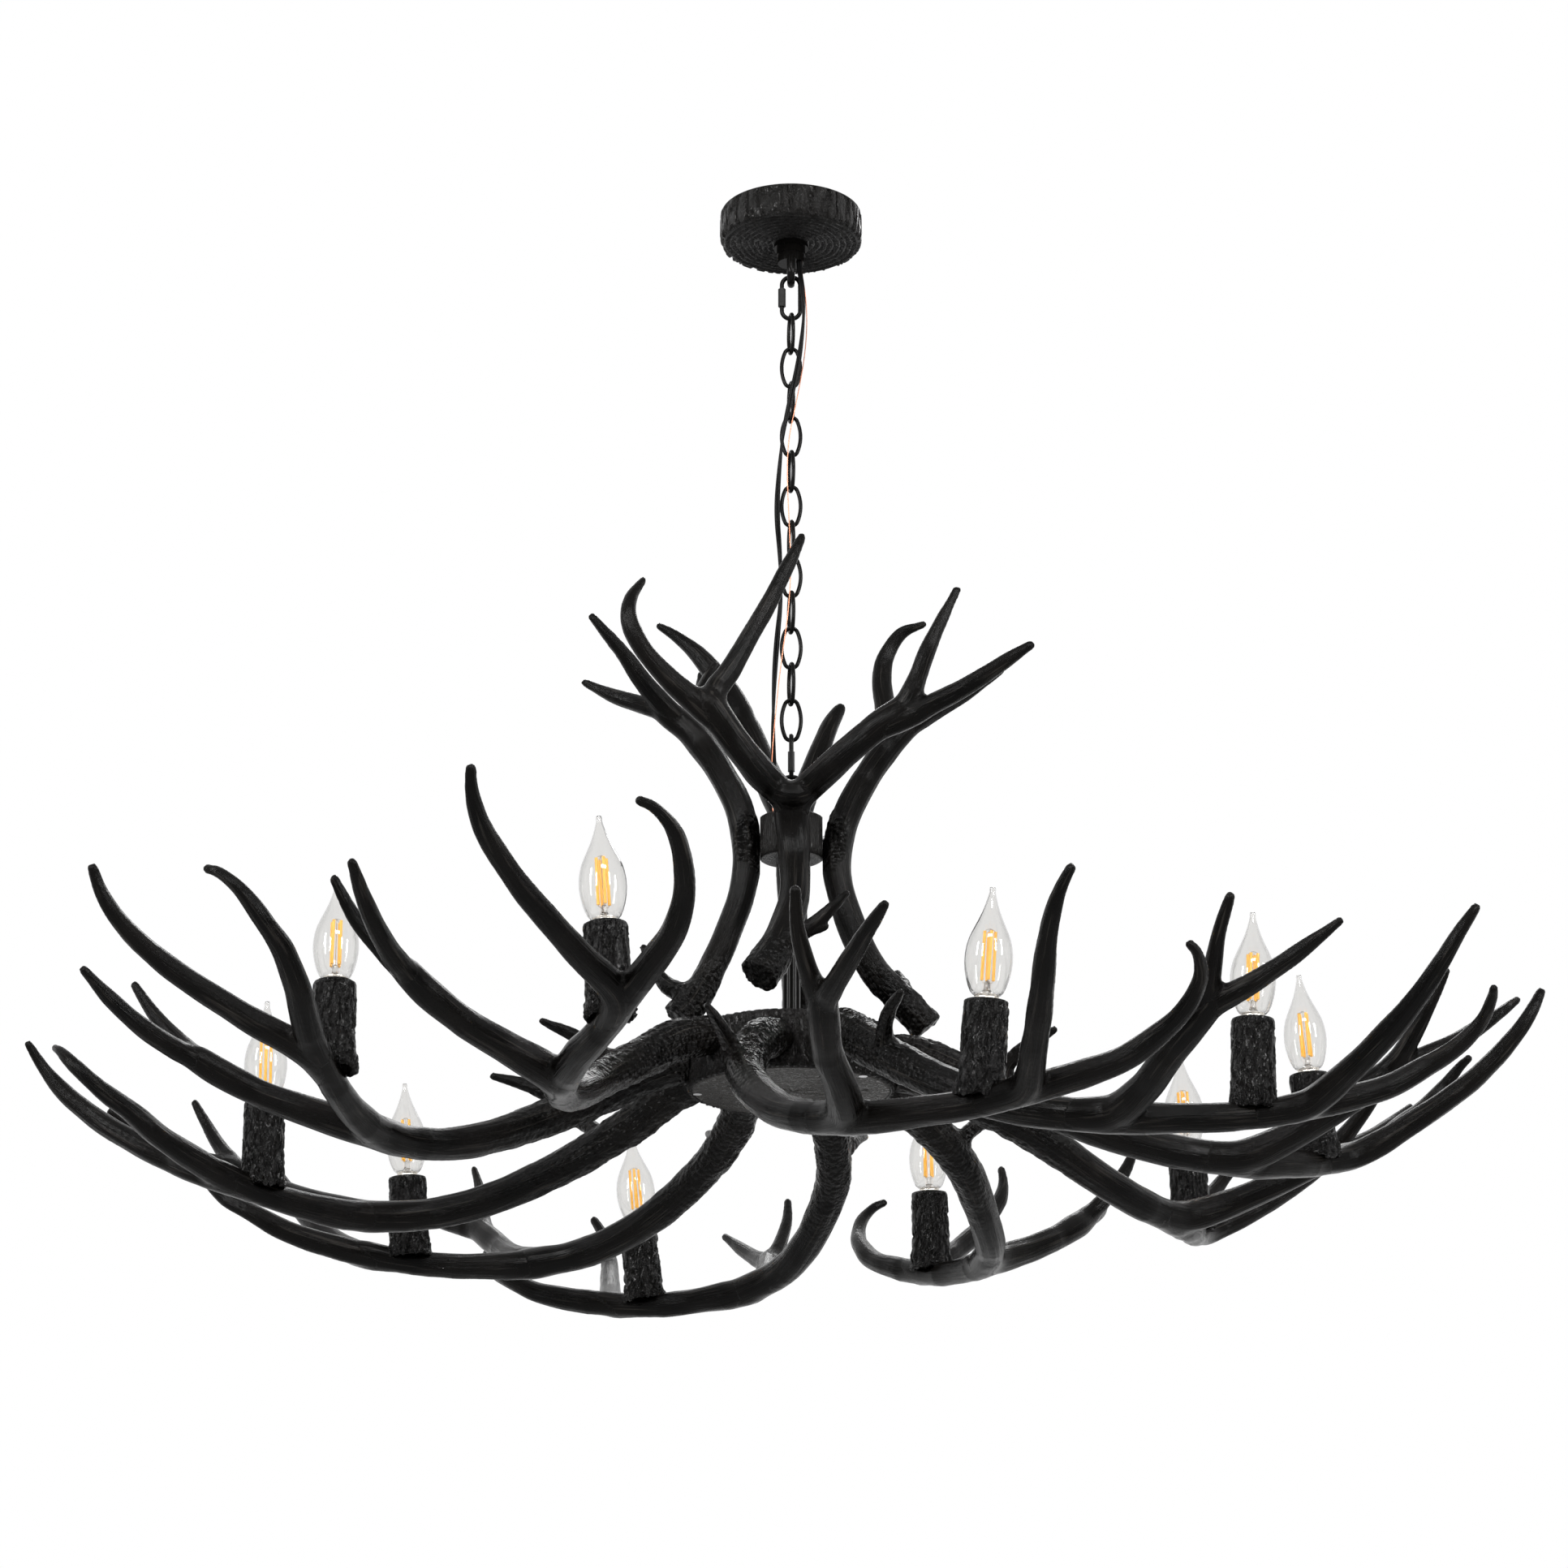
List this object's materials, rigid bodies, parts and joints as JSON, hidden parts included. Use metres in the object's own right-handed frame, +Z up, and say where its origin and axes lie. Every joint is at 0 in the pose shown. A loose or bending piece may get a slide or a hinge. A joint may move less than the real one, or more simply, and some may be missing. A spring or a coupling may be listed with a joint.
{
  "type": "antler chandelier",
  "caption": "Two-tier chandelier of cast antlers with candle lamps on bark sleeves, hung by a chain and loop from a round bark canopy.",
  "frame": {"origin": "centre of the ceiling fixing, at the ceiling's face; the part hangs below it", "axes": "+Z up, -Y towards the viewer in the picture, +X to the viewer's right"},
  "size_m": [1.2541, 1.2058, 0.9102],
  "materials": {
    "antler_resin": "cast resin antler, satin near-black brown with fine grooves",
    "bark_resin": "cast resin with a rough bark surface, dark brown",
    "bronzed_steel": "dark bronze coated steel",
    "zinc_steel": "zinc plated",
    "bulb_glass": "clear blown glass over a nickel cap",
    "holder_plastic": "moulded",
    "terminal_plastic": "moulded",
    "black_flex": "smooth insulated twin flex",
    "bare_copper": "bare copper wire"
  },
  "bodies": {
    "ceiling": {"ceiling_bracket": "zinc_steel", "ground_screw": "zinc_steel", "threaded_nipple": "zinc_steel", "locknut": "zinc_steel", "canopy": "bark_resin", "canopy_loop": "bronzed_steel"},
    "collar": {"collar_nut": "bronzed_steel"},
    "top_link": {"top_quick_link": "bronzed_steel"},
    "top_link_nut": {"top_link_nut": "bronzed_steel"},
    "chain": {"chain": "bronzed_steel", "supply_cord": "black_flex", "ground_wire": "bare_copper"},
    "bottom_link": {"bottom_quick_link": "bronzed_steel"},
    "bottom_link_nut": {"bottom_link_nut": "bronzed_steel"},
    "bulb_01": {"bulb_01": "bulb_glass"},
    "bulb_02": {"bulb_02": "bulb_glass"},
    "bulb_03": {"bulb_03": "bulb_glass"},
    "bulb_04": {"bulb_04": "bulb_glass"},
    "bulb_05": {"bulb_05": "bulb_glass"},
    "bulb_06": {"bulb_06": "bulb_glass"},
    "bulb_07": {"bulb_07": "bulb_glass"},
    "bulb_08": {"bulb_08": "bulb_glass"},
    "bulb_09": {"bulb_09": "bulb_glass"},
    "bulb_10": {"bulb_10": "bulb_glass"},
    "chandelier": {"antler_bolts": "zinc_steel", "candle_sleeve_01": "bark_resin", "candle_sleeve_02": "bark_resin", "candle_sleeve_03": "bark_resin", "candle_sleeve_04": "bark_resin", "candle_sleeve_05": "bark_resin", "candle_sleeve_06": "bark_resin", "candle_sleeve_07": "bark_resin", "candle_sleeve_08": "bark_resin", "candle_sleeve_09": "bark_resin", "candle_sleeve_10": "bark_resin", "cover_screws": "zinc_steel", "crown_antler_back": "antler_resin", "crown_antler_front": "antler_resin", "crown_antler_left": "antler_resin", "crown_antler_right": "antler_resin", "crown_screws": "zinc_steel", "drum_cover": "bark_resin", "hanging_eye": "bronzed_steel", "lamp_holders": "holder_plastic", "lower_antler_01": "antler_resin", "lower_antler_02": "antler_resin", "lower_antler_03": "antler_resin", "lower_antler_04": "antler_resin", "lower_antler_05": "antler_resin", "lower_antler_06": "antler_resin", "lower_antler_07": "antler_resin", "lower_antler_08": "antler_resin", "lower_antler_09": "antler_resin", "lower_antler_10": "antler_resin", "lower_drum": "bark_resin", "stem": "bronzed_steel", "stem_nuts": "bronzed_steel", "terminal_block": "terminal_plastic", "upper_hub": "bark_resin"}
  },
  "joints": [
    {"name": "top_link_swing", "type": "hinge", "parent": "ceiling", "child": "top_link", "pos_m": [0, 0, -0.0655], "axis": [0, 1, 0], "range_deg": [-15, 15], "deforming": ["supply_cord", "ground_wire"]},
    {"name": "chain_swing", "type": "hinge", "parent": "top_link", "child": "chain", "pos_m": [0, 0, -0.0998], "axis": [1, 0, 0], "range_deg": [-15, 15], "deforming": ["supply_cord", "ground_wire"]},
    {"name": "bottom_link_swing", "type": "hinge", "parent": "chain", "child": "bottom_link", "pos_m": [0, 0, -0.4855], "axis": [1, 0, 0], "range_deg": [-10, 10], "deforming": ["supply_cord", "ground_wire"]},
    {"name": "chandelier_swing", "type": "hinge", "parent": "bottom_link", "child": "chandelier", "pos_m": [0, 0, -0.5233], "axis": [0, 1, 0], "range_deg": [-10, 10], "deforming": ["supply_cord", "ground_wire"]},
    {"name": "collar_turn", "type": "hinge", "parent": "ceiling", "child": "collar", "pos_m": [0, 0, -0.034], "axis": [0, 0, 1], "continuous": true},
    {"name": "top_link_nut_turn", "type": "hinge", "parent": "top_link", "child": "top_link_nut", "pos_m": [-0.0079, 0, -0.0798], "axis": [0, 0, 1], "continuous": true},
    {"name": "bottom_link_nut_turn", "type": "hinge", "parent": "bottom_link", "child": "bottom_link_nut", "pos_m": [0, 0.0079, -0.5033], "axis": [0, 0, 1], "continuous": true},
    {"name": "bulb_01_turn", "type": "hinge", "parent": "chandelier", "child": "bulb_01", "pos_m": [-0.13502, -0.4059, -0.76681], "axis": [-0.0706, 0.0583, 0.9958], "continuous": true},
    {"name": "bulb_02_turn", "type": "hinge", "parent": "chandelier", "child": "bulb_02", "pos_m": [-0.34619, -0.2506, -0.76785], "axis": [-0.0198, 0.119, 0.9927], "continuous": true},
    {"name": "bulb_03_turn", "type": "hinge", "parent": "chandelier", "child": "bulb_03", "pos_m": [-0.42789, -0.00747, -0.79998], "axis": [-0.0138, -0.009, 0.9999], "continuous": true},
    {"name": "bulb_04_turn", "type": "hinge", "parent": "chandelier", "child": "bulb_04", "pos_m": [-0.33626, 0.26461, -0.80121], "axis": [-0.0545, -0.0326, 0.998], "continuous": true},
    {"name": "bulb_05_turn", "type": "hinge", "parent": "chandelier", "child": "bulb_05", "pos_m": [-0.13842, 0.40429, -0.81339], "axis": [-0.0923, 0.0272, 0.9954], "continuous": true},
    {"name": "bulb_06_turn", "type": "hinge", "parent": "chandelier", "child": "bulb_06", "pos_m": [0.12649, 0.40861, -0.78306], "axis": [-0.0203, -0.0302, 0.9993], "continuous": true},
    {"name": "bulb_07_turn", "type": "hinge", "parent": "chandelier", "child": "bulb_07", "pos_m": [0.34625, 0.25065, -0.77935], "axis": [-0.043, -0.0268, 0.9987], "continuous": true},
    {"name": "bulb_08_turn", "type": "hinge", "parent": "chandelier", "child": "bulb_08", "pos_m": [0.42607, 0.0283, -0.76789], "axis": [-0.0655, -0.0393, 0.9971], "continuous": true},
    {"name": "bulb_09_turn", "type": "hinge", "parent": "chandelier", "child": "bulb_09", "pos_m": [0.34825, -0.2484, -0.79519], "axis": [0.0331, -0.0107, 0.9994], "continuous": true},
    {"name": "bulb_10_turn", "type": "hinge", "parent": "chandelier", "child": "bulb_10", "pos_m": [0.13887, -0.40332, -0.82307], "axis": [0.0695, -0.0626, 0.9956], "continuous": true}
  ]
}
